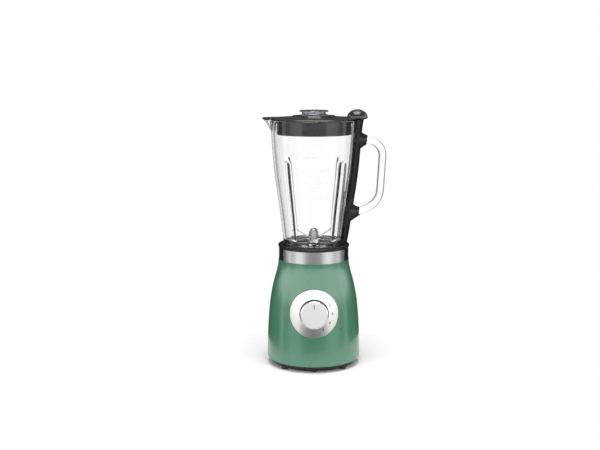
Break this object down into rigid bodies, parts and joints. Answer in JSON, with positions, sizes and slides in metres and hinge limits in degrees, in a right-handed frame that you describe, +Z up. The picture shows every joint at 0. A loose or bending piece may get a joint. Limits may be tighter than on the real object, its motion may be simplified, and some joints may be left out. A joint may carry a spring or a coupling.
{
  "type": "countertop blender",
  "caption": "Upright blender: round tapered motor base with a front dial, glass jar with a moulded glass handle and cover strip, flat lid with a pouring cover, thumb dome and filler cap.",
  "frame": {"origin": "centre of the overall box on the worktop that the feet stand on; the drive axis is at x = -16.5 mm, y = 4.7 mm", "axes": "+Z up along the drive axis, +X towards the jar's handle, -Y towards the dial"},
  "size_m": [0.1907, 0.1585, 0.3978],
  "materials": {
    "green_paint": "glossy sage-green paint",
    "black_plastic": "satin moulded",
    "gloss_black": "glossy moulded",
    "brushed_steel": "fine brushed",
    "silver_plastic": "metallised",
    "dark_print": "printed line",
    "clear_glass": "clear pressed glass",
    "smoky_plastic": "smoky translucent",
    "seal_rubber": "smooth moulded rubber",
    "rubber": "matte",
    "stainless": "polished stainless steel",
    "zinc_steel": "zinc plated",
    "core_steel": "laminated steel",
    "polished_steel": "ground steel",
    "copper": "enamelled copper",
    "brass": "bright brass",
    "carbon": "pressed graphite",
    "white_plastic": "natural nylon",
    "circuit_board": "solder-masked laminate",
    "component_plastic": "moulded case",
    "lead_insulation": "PVC insulation"
  },
  "bodies": {
    "base": {"body_shell": "green_paint", "base_plate": "black_plastic", "rubber_feet": "rubber", "foot_pads": "rubber", "base_screws": "zinc_steel", "top_collar": "black_plastic", "trim_band_front": "brushed_steel", "trim_band_rear": "brushed_steel", "dial_bezel": "brushed_steel", "dial_well": "black_plastic", "rotary_switch": "black_plastic", "switch_nut": "zinc_steel", "cord_gland": "black_plastic", "cord_clamp": "black_plastic", "clamp_screws": "zinc_steel", "motor_top_plate": "zinc_steel", "motor_low_plate": "zinc_steel", "tie_rods": "zinc_steel", "stator_core": "core_steel", "stator_windings": "copper", "upper_bearing": "polished_steel", "lower_bearing": "polished_steel", "brush_holders": "brass", "carbon_brushes": "carbon", "brush_springs": "polished_steel", "vibration_dampers": "rubber", "motor_screws": "zinc_steel", "control_board": "circuit_board", "suppression_capacitor": "component_plastic", "wiring_leads": "lead_insulation", "interlock_switch": "black_plastic", "plunger_spring": "polished_steel"},
    "rotor": {"motor_shaft": "polished_steel", "armature_core": "core_steel", "armature_windings": "copper", "commutator": "copper", "cooling_fan": "white_plastic", "drive_coupling": "black_plastic"},
    "knob": {"dial_knob": "silver_plastic", "knob_face": "brushed_steel", "knob_pointer": "dark_print", "switch_spindle": "zinc_steel"},
    "plunger": {"switch_plunger": "polished_steel"},
    "jar": {"glass_jar": "clear_glass", "jar_base_nut": "black_plastic", "jar_gasket": "seal_rubber", "blade_carrier": "stainless", "blade_bushing": "brass", "shaft_seal": "seal_rubber", "handle_cover": "black_plastic"},
    "rod": {"push_rod": "polished_steel"},
    "blades": {"blade_shaft": "stainless", "upper_blade": "stainless", "lower_blade": "stainless", "blade_washers": "stainless", "blade_nut": "stainless", "driven_coupling": "black_plastic"},
    "lid": {"lid_cover": "gloss_black", "lid_seal": "seal_rubber"},
    "cap": {"filler_cap": "smoky_plastic"}
  },
  "joints": [
    {"name": "rotor_spin", "type": "hinge", "parent": "base", "child": "rotor", "pos_m": [-0.0165, 0.0047, 0.1], "axis": [0, 0, 1], "continuous": true},
    {"name": "knob_turn", "type": "hinge", "parent": "base", "child": "knob", "pos_m": [-0.0165, -0.06427, 0.0925], "axis": [0, 0.9945, -0.1045], "range_deg": [-30, 150]},
    {"name": "jar_lift", "type": "slide", "parent": "base", "child": "jar", "axis": [0, 0, 1], "range_m": [0, 0.08]},
    {"name": "plunger_slide", "type": "slide", "parent": "base", "child": "plunger", "axis": [0, 0, 1], "range_m": [0, 0.003], "deforming": ["plunger_spring"]},
    {"name": "blade_spin", "type": "hinge", "parent": "jar", "child": "blades", "pos_m": [-0.0165, 0.0047, 0.19], "axis": [0, 0, 1], "continuous": true},
    {"name": "rod_slide", "type": "slide", "parent": "jar", "child": "rod", "axis": [0.1256, 0, 0.9921], "range_m": [0, 0.003]},
    {"name": "lid_lift", "type": "slide", "parent": "jar", "child": "lid", "axis": [0, 0, 1], "range_m": [0, 0.06]},
    {"name": "cap_lift", "type": "slide", "parent": "lid", "child": "cap", "axis": [0, 0, 1], "range_m": [0, 0.05]}
  ],
  "couplings": [
    {"joint": "blade_spin", "follows": "rotor_spin", "ratio": 1},
    {"joint": "rod_slide", "follows": "lid_lift", "ratio": 0.0499},
    {"joint": "plunger_slide", "follows": "jar_lift", "ratio": 0.0374}
  ]
}
